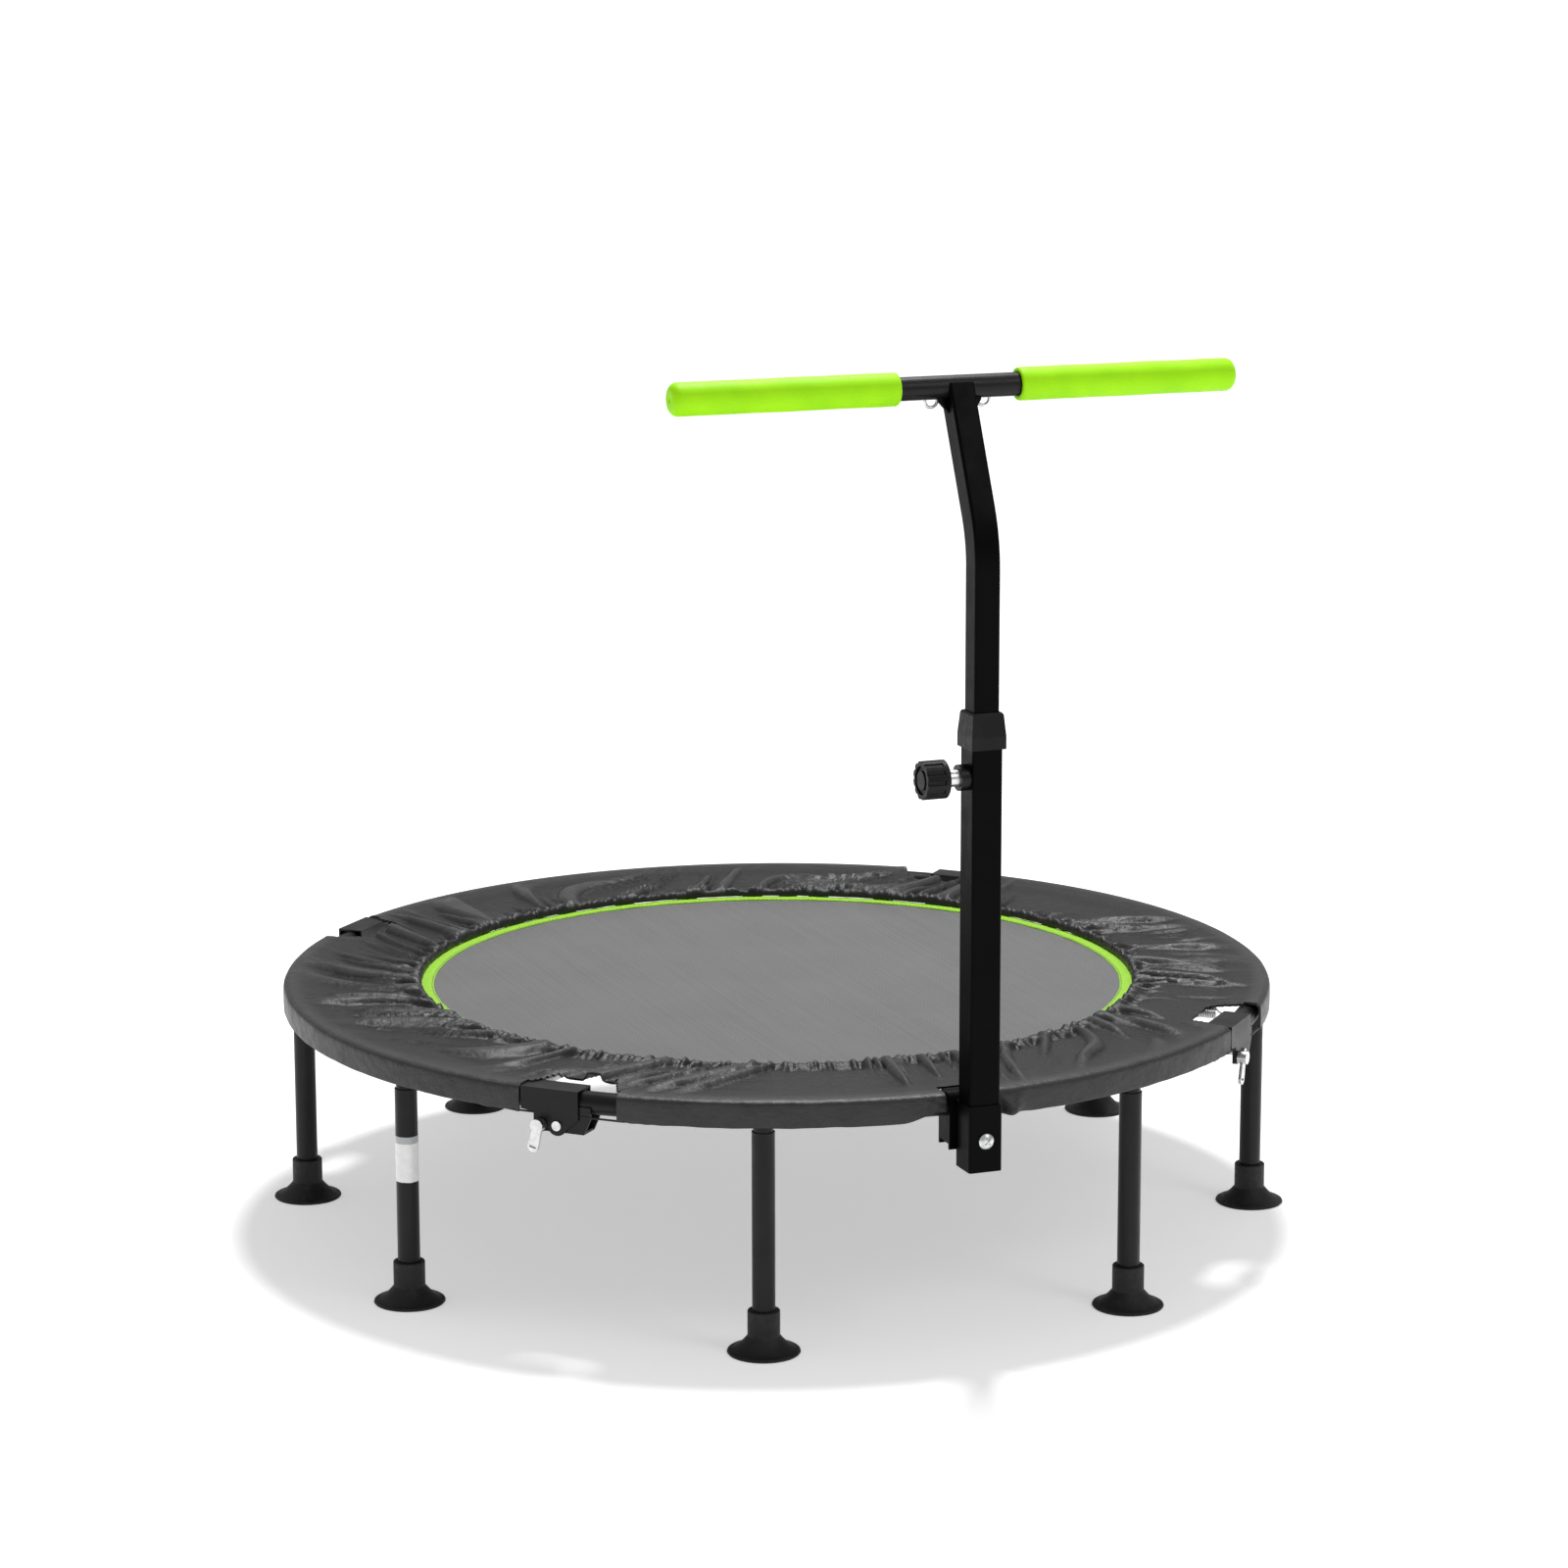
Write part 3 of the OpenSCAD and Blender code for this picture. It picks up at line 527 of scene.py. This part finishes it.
def make_springs(half, start):
    """Sixteen tension springs, each with a wire triangle at the mat and a hook in the rim."""
    shape = Shape()
    wire, coil, turns = 0.0010, 0.0050, 26
    first, last = 0.4035, 0.4665  # the wound stretch, as radii
    eye_r, eye_at = 0.0042, 0.3962
    triangle_wire, rounding = 0.0013, 0.12
    for k in range(SPRINGS_PER_HALF):
        a = start + (k + 0.5) * math.pi / SPRINGS_PER_HALF
        turn = Matrix.Rotation(a, 4, "Z")

        def put(x, y, z):
            return turn @ Vector((x, y, z)) + RING + Vector((0, 0, SPRING_Z))

        eye = [put(eye_at + eye_r * math.cos(w), 0, eye_r * math.sin(w))
               for w in np.linspace(math.radians(-300), math.radians(-20), 12)]
        lead = [put(0.4016, 0, 0.0005 + coil * 0.45), put(0.4026, 0, coil * 0.85)]
        body = [
            put(first + (last - first) * t,
                coil * math.sin(TAU * turns * t), coil * math.cos(TAU * turns * t))
            for t in np.linspace(0, 1, turns * 10 + 1)
        ]
        hook = [put(0.4676, 0, coil * 0.8), put(0.4700, 0, coil * 0.3), put(0.4740, 0, 0.0),
                put(0.4810, 0, 0.0), put(0.4865, 0, 0.0004), put(0.4885, 0, -0.0004),
                put(0.4888, 0, -0.0022)]
        shape.tube(eye + lead + body + hook, wire, sides=5)
        corners = [(0.3762, -0.0115), (0.3762, 0.0115), (0.3918, 0.0030), (0.3918, -0.0030)]
        ring = []
        for n, (x, y) in enumerate(corners):
            before, after = corners[n - 1], corners[(n + 1) % 4]
            for t in (0.0, 0.5, 1.0):
                px = (x + (before[0] - x) * rounding * (1 - t) ** 2
                      + (after[0] - x) * rounding * t**2)
                py = (y + (before[1] - y) * rounding * (1 - t) ** 2
                      + (after[1] - y) * rounding * t**2)
                ring.append(put(px, py, 0))
        shape.tube(ring, triangle_wire, sides=6, closed=True)
    springs = shape.make("spring_wires_" + half, "zinc", smooth=80)
    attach(springs, half + "_half")
    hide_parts("springs_" + half, "mat_rings_" + half)


for half_name, half_start in HALVES.items():
    make_tabs(half_name, half_start)
    make_springs(half_name, half_start)


def make_pin_spring():
    """The wound spring behind the locating pin, made at rest. In the real barrel its outer end stays
    put while the other end moves with the pin, so it shortens when the knob is pulled; here it does
    not move."""
    low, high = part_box("pin_spring")
    centre = (low + high) / 2
    wire, turns = 0.00050, 9
    side_gap, end_gap = 0.0001, 0.00015
    coil = (high.z - low.z) / 2 - wire - side_gap
    first, last = low.x + wire + end_gap, high.x - wire - end_gap
    path = [
        Vector((first + (last - first) * t, centre.y + coil * math.cos(TAU * turns * t),
                centre.z + coil * math.sin(TAU * turns * t)))
        for t in np.linspace(0, 1, turns * 20 + 1)
    ]
    shape = Shape()
    shape.tube(path, wire, sides=8)
    spring = shape.make("pin_spring_wire", "zinc", smooth=80)
    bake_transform(spring)
    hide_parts("pin_spring")


make_pin_spring()


# -------------------------------------------------------------------- cover

COVER_COLS = 1200
# the profile as radius and height, from the inner elastic over the springs to the outer hem
COVER_ROWS = [
    (0.3690, 0.2412), (0.3686, 0.2436), (0.3693, 0.2464), (0.3710, 0.2486), (0.3736, 0.2498),
    (0.3760, 0.2502), (0.3788, 0.2500), (0.3818, 0.2498), (0.3850, 0.2497), (0.3885, 0.2496),
    (0.3922, 0.2495), (0.3960, 0.2494), (0.4000, 0.2493), (0.4045, 0.2492), (0.4090, 0.2492),
    (0.4140, 0.2491), (0.4190, 0.2491), (0.4240, 0.2490), (0.4290, 0.2490), (0.4340, 0.2490),
    (0.4390, 0.2490), (0.4440, 0.2490), (0.4490, 0.2489), (0.4535, 0.2488), (0.4575, 0.2487),
    (0.4585, 0.2486), (0.4620, 0.2485), (0.4680, 0.2485), (0.4750, 0.2485), (0.4820, 0.2486),
    (0.4880, 0.2487), (0.4930, 0.2488), (0.4975, 0.2488), (0.5020, 0.2486), (0.5055, 0.2482),
    (0.5080, 0.2475), (0.5095, 0.2465), (0.5102, 0.2450), (0.5105, 0.2430), (0.5106, 0.2395),
    (0.5106, 0.2355), (0.5106, 0.2315), (0.5105, 0.2275), (0.5104, 0.2245), (0.5103, 0.2232),
    (0.5096, 0.2225), (0.5088, 0.2228),
]
SKIRT_ROW = 35  # rows from here on hang outside the ring
GAP_ROW = 25  # a hinge cut-out starts here
GAP_LOW, GAP_HIGH = -15, 23  # its columns, counted from the hinge
NOTCH_ROW = 29  # the cut-out at the post starts here
NOTCH_HALF = 10
PULL_HALF = 26  # the post's bracket pulls the cloth this many columns to each side
LUMP_AT, LUMP_WIDTH = 14.5, 3.6
CREST_Z, CREST_SOFT = 0.2528, 0.0009
VALLEY_Z, VALLEY_SOFT = 0.2424, 0.0006
STEP = TAU / COVER_COLS


def gap_side(j):
    """How many columns j is inside a hinge cut-out, or minus how many outside."""
    best = -COVER_COLS
    for hinge in HINGES:
        k = round((j * STEP - hinge) / STEP) % COVER_COLS
        k = k - COVER_COLS if k > COVER_COLS // 2 else k
        best = max(best, min(k - GAP_LOW, GAP_HIGH - k))
    return best


def notch_side(j):
    """How many columns j is inside the cut-out at the post, and its column from the post."""
    k = round((j * STEP - POST_A) / STEP) % COVER_COLS
    k = k - COVER_COLS if k > COVER_COLS // 2 else k
    return NOTCH_HALF - abs(k), k


GAP_SIDE = [gap_side(j) for j in range(COVER_COLS)]
NOTCH = [notch_side(j) for j in range(COVER_COLS)]


def below(z, high, soft):
    """z limited to high, rounded off over about soft."""
    return high - math.log1p(math.exp((high - z) / soft)) * soft


def above(z, low, soft):
    """z limited to low from below, rounded off over about soft."""
    return low + math.log1p(math.exp((z - low) / soft)) * soft


def cover_point(i, j):
    """A point of the cover: folds on top, a plainer skirt, and the changes at the cut-outs."""
    a = j * STEP
    r, z = COVER_ROWS[i]
    near, k = GAP_SIDE[j], NOTCH[j][1]
    # folds lean one way or the other, so they are not all radial
    lean = a + (r - 0.36) * (3.0 * waves(a, 2.6, 0, 1, 11.0) + 1.0)
    fine = 2.6 * abs(waves(lean, 30, r, 5)) - 0.80
    wide = 2.6 * abs(waves(lean, 13, r, 4, 5.0)) - 0.80
    crumple = waves(lean, 30, r, 30, 2.0)
    gather = 2 * abs(waves(a, 62, r, 20, 9.0)) - 0.4
    inner = ease(i, 0, 3) * (1 - ease(r, 0.376, 0.425))
    middle = ease(r, 0.370, 0.385) * (1 - ease(r, 0.455, 0.500))
    if i < SKIRT_ROW:
        z += (0.0075 * fine + 0.0075 * wide + 0.0020 * crumple) * middle + 0.0036 * gather * inner
        # soft limits: round tops that lie flat, and valleys that stay above the springs
        if i > 1:
            z = below(z, CREST_Z + 0.0008 * wide, CREST_SOFT)
            low = VALLEY_Z + 0.0036 * ease(r, 0.384, 0.400) + 0.0020 * ease(r, 0.455, 0.475)
            z = above(z, low, VALLEY_SOFT)
        r += 0.0008 * waves(a, 30, 0, 1, 7.0) * (1 - ease(r, 0.369, 0.378))
    else:
        r += 0.0005 * waves(a, 12, z, 40, 1.0)
        wavy = 1 - ease(abs(near), 0, 30)
        drop = ease(0.244 - z, 0, 0.02)
        z += drop * (0.0007 * waves(a, 22, 0, 1, 9.0) + 0.0016 * wavy * waves(a, 55, 0, 1, 4.0))
    # the border of each cut-out is rolled
    if near > -5 and near <= 0 and i > GAP_ROW:
        z += 0.0007 * math.cos(math.pi * near / 8) * (i < SKIRT_ROW)
    # at the post's bracket the cloth is pulled up on one side and bunched on the other
    if abs(k) < PULL_HALF:
        pull = ease(PULL_HALF - abs(k), 0, 14)
        drop = ease(0.2475 - z, 0, 0.024)
        if k < 0:
            z += 0.0085 * pull * drop
            r += 0.0015 * pull * waves(a, 60, z, 200)
        else:
            lump = math.exp(-(((k - LUMP_AT) / LUMP_WIDTH) ** 2))
            r += 0.0120 * lump * drop * (1.1 - 0.5 * ease(0.228 - z, 0, 0.006))
            r += 0.0012 * lump * waves(a, 90, z, 260)
            z += 0.0035 * pull * drop * (1 - lump)
    return polar(r, a, z)


def narrowing(i):
    """How many columns a hinge cut-out has lost on each side at row i, where it is rounded."""
    return max(0, (SKIRT_ROW - 4 - i) * 1.2)


def cover_keep(i, j):
    """False for the quads inside a cut-out."""
    mid_gap = min(GAP_SIDE[j], GAP_SIDE[(j + 1) % COVER_COLS]) - narrowing(i)
    mid_notch = min(NOTCH[j][0], NOTCH[(j + 1) % COVER_COLS][0])
    if i >= GAP_ROW and mid_gap >= 0:
        return False
    return not (i >= NOTCH_ROW and mid_notch >= 0)


def make_cover():
    """The black cover: gathered on its inner elastic, smooth round the ring, cut out over
    each hinge and at the post, with rolled hems."""
    cloth, hem_extra, hem_cols = 0.0010, 0.0013, 2.5
    uv_radius = 0.44
    elastic = 0.0011
    run = [0.0]
    for (r0, z0), (r1, z1) in zip(COVER_ROWS, COVER_ROWS[1:]):
        run.append(run[-1] + math.hypot(r1 - r0, z1 - z0))
    shape = Shape()
    shape.grid(len(COVER_ROWS), COVER_COLS, cover_point,
               lambda i, j: (j * STEP * uv_radius, run[i]), keep=cover_keep, flip=True)
    hem = {}
    for k in range(len(shape.points)):
        i, j = divmod(k, COVER_COLS)
        side = 0.0
        if i >= GAP_ROW - 1:
            side = max(side, 1 - abs(min(GAP_SIDE[j] - narrowing(i), 0)) / hem_cols)
        if i in (GAP_ROW, GAP_ROW - 1) and GAP_SIDE[j] >= 0:
            side = 1.0 if i == GAP_ROW else 0.7
        if i >= NOTCH_ROW - 1:
            side = max(side, 1 - abs(min(NOTCH[j][0], 0)) / hem_cols)
        hem[k] = cloth + hem_extra * min(max(side, 0.0), 1.0)
    shape.thicken(hem.get)
    # the elastic in the outer hem, bare across each cut-out
    for hinge in HINGES:
        low, high = hinge + (GAP_LOW - 3) * STEP, hinge + (GAP_HIGH + 3) * STEP
        path = [polar(0.5098 - 0.0030 * math.sin(math.pi * t), low + (high - low) * t, 0.2236)
                for t in np.linspace(0, 1, 25)]
        shape.tube(path, elastic, sides=6)
    cover = shape.make("cover_gathered", "cover_cloth", smooth=75)
    across_fold(cover)
    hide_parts("cover_fixed", "cover_folding")


make_cover()


# -------------------------------------------------------------------- grips


def make_grip(side):
    """A foam sleeve on the crossbar: open at its inner end, closed and rounded outside."""
    name = "grip_left" if side < 0 else "grip_right"
    low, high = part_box(name)
    centre = (low + high) / 2
    length = high.x - low.x
    radius = (high.z - low.z) / 2
    # rows as distance from the open end and radius: rolled lip, straight part, round end, dimple
    lip, end_r, straight_rows = 0.0024, 0.0080, 44
    straight = length - 0.0104
    rows = [(0.0030, 0.0112), (0.0006, 0.0114), (0.0000, 0.0122), (0.0000, radius - 0.0022),
            (0.0003, radius - 0.0010), (0.0011, radius - 0.0003), (lip, radius)]
    rows += [(lip + straight * k / straight_rows, radius) for k in range(1, straight_rows + 1)]
    for k in range(1, 10):
        w = math.radians(10 * k)
        rows.append((length - end_r + end_r * math.sin(w), radius - end_r * (1 - math.cos(w))))
    rows += [(length, 0.0055), (length - 0.0002, 0.0030), (length - 0.0012, 0.0022),
             (length - 0.0016, 0.0002)]
    cols = 72
    inner = low.x if side > 0 else high.x

    def point(i, j):
        along, r = rows[i]
        w = TAU * j / cols * side
        soft = noise.noise(Vector((along * 34, math.cos(w) * 0.7 + side * 5, math.sin(w) * 0.7)))
        r += 0.00035 * soft * (6 < i < 52)
        return (inner + side * along, centre.y + r * math.cos(w), centre.z + r * math.sin(w))

    shape = Shape()
    first = shape.grid(len(rows), cols, point, lambda i, j: (rows[i][0], j / cols * 0.1), flip=True)
    last = first + (len(rows) - 1) * cols
    shape.cap(range(last, last + cols), flip=True)
    grip = shape.make("foam_" + name, "grip_foam")
    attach(grip, "handle")
    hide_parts(name)


make_grip(-1)
make_grip(1)


# --------------------------------------------------------------- leg sleeve


def make_sleeve():
    """Blank white film wrapped round one front leg, with the end of the wrap a hair proud."""
    low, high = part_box("leg_8")
    centre = (low + high) / 2
    cols, turn_cols, rows = 66, 60, 12
    z0, z1 = 0.1235, 0.1690
    gap, lift, thickness = 0.00022, 0.0006, 0.00015
    radius = (high.x - low.x) / 2

    def point(i, j):
        w = TAU * j / turn_cols + math.radians(250)
        z = z0 + (z1 - z0) * i / (rows - 1)
        crinkle = 0.00008 * noise.noise(Vector((w * 3, z * 160, 0)))
        r = radius + gap + lift * ease(j, 58, 64) + crinkle
        return (centre.x + r * math.cos(w), centre.y + r * math.sin(w), z)

    shape = Shape()
    shape.grid(rows, cols, point,
               lambda i, j: (j * TAU / turn_cols * radius, (z1 - z0) * i / (rows - 1)), wrap=False)
    shape.thicken(lambda k: thickness)
    sleeve = shape.make("leg_film_sleeve", "white_film")
    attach(sleeve, "folding_half")


make_sleeve()


# ---------------------------------------------------------------- CAD nodes

# each node gets the finish of its slot; the post's tubes and saddle get a darker, less shiny copy of
# the powder coat, painted shade
for node_name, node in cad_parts.items():
    slot = node.material_slots[0].material.name.split(".")[0] if node.material_slots else ""
    if slot == "frame_black" and node_name.startswith(("lower_post", "sliding_tube", "post_s")):
        slot = "post_black_painted_shade"
    finish = FINISH.get(slot)
    if finish:
        node.data.materials.clear()
        node.data.materials.append(finish)


# ---------------------------------------------------------- camera and light


def make_camera():
    """The photograph's view: a long lens, a little above the ring and left of the post."""
    lens, distance, height = 101.95, 4.489, 1.3665
    pitch, yaw, roll = math.radians(90 - 11.60), math.radians(0.10), math.radians(-0.1)
    data = bpy.data.cameras.new("camera")
    data.sensor_width, data.lens = 36.0, lens
    data.clip_start, data.clip_end = 0.05, 300
    camera = bpy.data.objects.new("camera", data)
    bpy.context.scene.collection.objects.link(camera)
    away = Vector((math.sin(VIEW_A), -math.cos(VIEW_A), 0))
    turn = (
        Matrix.Rotation(VIEW_A - yaw, 4, "Z")
        @ Matrix.Rotation(pitch, 4, "X")
        @ Matrix.Rotation(roll, 4, "Z")
    )
    place = RING + away * distance + Vector((0, 0, height))
    camera.matrix_world = Matrix.Translation(place) @ turn
    bpy.context.scene.camera = camera


def make_light(name, azimuth, elevation, distance, size, power):
    """A round area light that looks at a point 0.3 m above the floor, angles in degrees."""
    data = bpy.data.lights.new(name, "AREA")
    data.shape, data.size, data.energy = "DISK", size, power
    light = bpy.data.objects.new(name, data)
    bpy.context.scene.collection.objects.link(light)
    a, e = math.radians(azimuth), math.radians(elevation)
    back = Vector((math.sin(a) * math.cos(e), -math.cos(a) * math.cos(e), math.sin(e)))
    turn = back.to_track_quat("Z", "Y").to_matrix().to_4x4()
    light.matrix_world = Matrix.Translation(Vector((0, 0, 0.3)) + back * distance) @ turn


def make_stage():
    """A white floor with painted shade: it glows less near the object and more away from it, under a
    plain white world.
    """
    side, near, far = 90.0, 1.0, 3.0
    near_glow, far_glow, world_light = 0.43, 0.80, 0.42
    mesh = bpy.data.meshes.new("floor")
    corners = [(-side, -side, 0), (side, -side, 0), (side, side, 0), (-side, side, 0)]
    mesh.from_pydata(corners, [], [(0, 1, 2, 3)])
    floor = bpy.data.objects.new("floor", mesh)
    bpy.context.scene.collection.objects.link(floor)
    finish = Finish("paper_floor", Roughness=0.9, Specular_IOR_Level=0.0, Emission_Color=(1, 1, 1, 1))
    away = finish.node("ShaderNodeVectorMath", operation="LENGTH")
    finish.tree.links.new(finish.place(), away.inputs[0])
    # painted shade: the floor's glow is lower near the object
    finish.tree.links.new(finish.span(away.outputs["Value"], near, far, near_glow, far_glow),
                          finish.shader.inputs["Emission Strength"])
    finish.base(finish.ramp(finish.noise(finish.place(), 0.6, 2),
                            (0.3, (0.79, 0.79, 0.79)), (0.7, (0.81, 0.81, 0.81))))
    mesh.materials.append(finish.material)
    world = bpy.data.worlds.new("studio")
    world.use_nodes = True
    background = world.node_tree.nodes["Background"]
    background.inputs["Color"].default_value = (1, 1, 1, 1)
    background.inputs["Strength"].default_value = world_light
    bpy.context.scene.world = world
    bpy.context.scene.view_settings.view_transform = "Standard"


make_camera()
make_stage()
make_light("key", azimuth=146, elevation=74, distance=3.5, size=0.6, power=122)
make_light("front", azimuth=30, elevation=40, distance=4.0, size=1.4, power=16)
